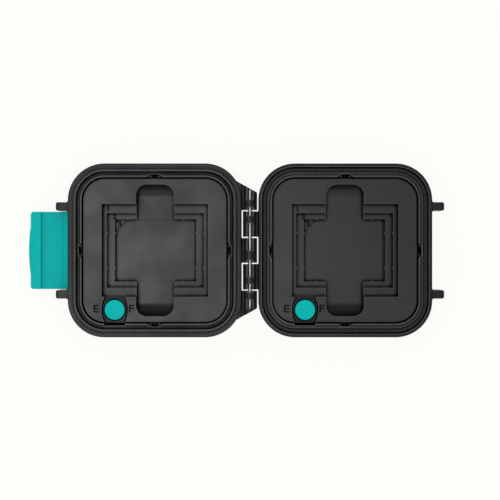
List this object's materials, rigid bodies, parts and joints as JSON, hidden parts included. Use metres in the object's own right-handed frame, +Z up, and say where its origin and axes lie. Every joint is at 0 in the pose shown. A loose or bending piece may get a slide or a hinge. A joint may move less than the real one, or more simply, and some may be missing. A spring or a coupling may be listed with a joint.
{
  "type": "memory card case",
  "caption": "Square hard case for memory cards, open flat on its hinge, with nested card pockets in both halves, a rubber seal and a swing-over latch.",
  "frame": {"origin": "centre of the base half's flat back face, case lying open", "axes": "+X from the base half towards the lid half, +Y along the hinge axis, +Z up out of the open case"},
  "size_m": [0.1709, 0.071, 0.016],
  "materials": {
    "shell_plastic": "fine-grained black moulded plastic",
    "tray_plastic": "satin black moulded plastic",
    "seal_rubber": "matt black rubber",
    "steel_pin": "ground stainless steel",
    "latch_plastic": "semi-gloss teal plastic",
    "disc_plastic": "glossy teal plastic"
  },
  "bodies": {
    "base": {"base_shell": "shell_plastic", "base_tray": "tray_plastic", "hinge_pin": "steel_pin", "latch_pin": "steel_pin"},
    "lid": {"lid_shell": "shell_plastic", "lid_tray": "tray_plastic", "lid_gasket": "seal_rubber"},
    "latch": {"latch": "latch_plastic"},
    "base_marker": {"base_marker_rocker": "tray_plastic", "base_marker_disc": "disc_plastic"},
    "lid_marker": {"lid_marker_rocker": "tray_plastic", "lid_marker_disc": "disc_plastic"}
  },
  "joints": [
    {"name": "lid_hinge", "type": "hinge", "parent": "base", "child": "lid", "pos_m": [0.0389, 0, 0.0131], "axis": [0, -1, 0], "range_deg": [0, 180]},
    {"name": "latch_pivot", "type": "hinge", "parent": "base", "child": "latch", "pos_m": [-0.0363, 0, 0.0055], "axis": [0, 1, 0], "range_deg": [0, 90]},
    {"name": "base_marker_tilt", "type": "hinge", "parent": "base", "child": "base_marker", "pos_m": [-0.0164, -0.0243, 0.01], "axis": [0, 1, 0], "range_deg": [-8, 8]},
    {"name": "lid_marker_tilt", "type": "hinge", "parent": "lid", "child": "lid_marker", "pos_m": [0.0614, -0.0243, 0.01], "axis": [0, 1, 0], "range_deg": [-8, 8]}
  ]
}
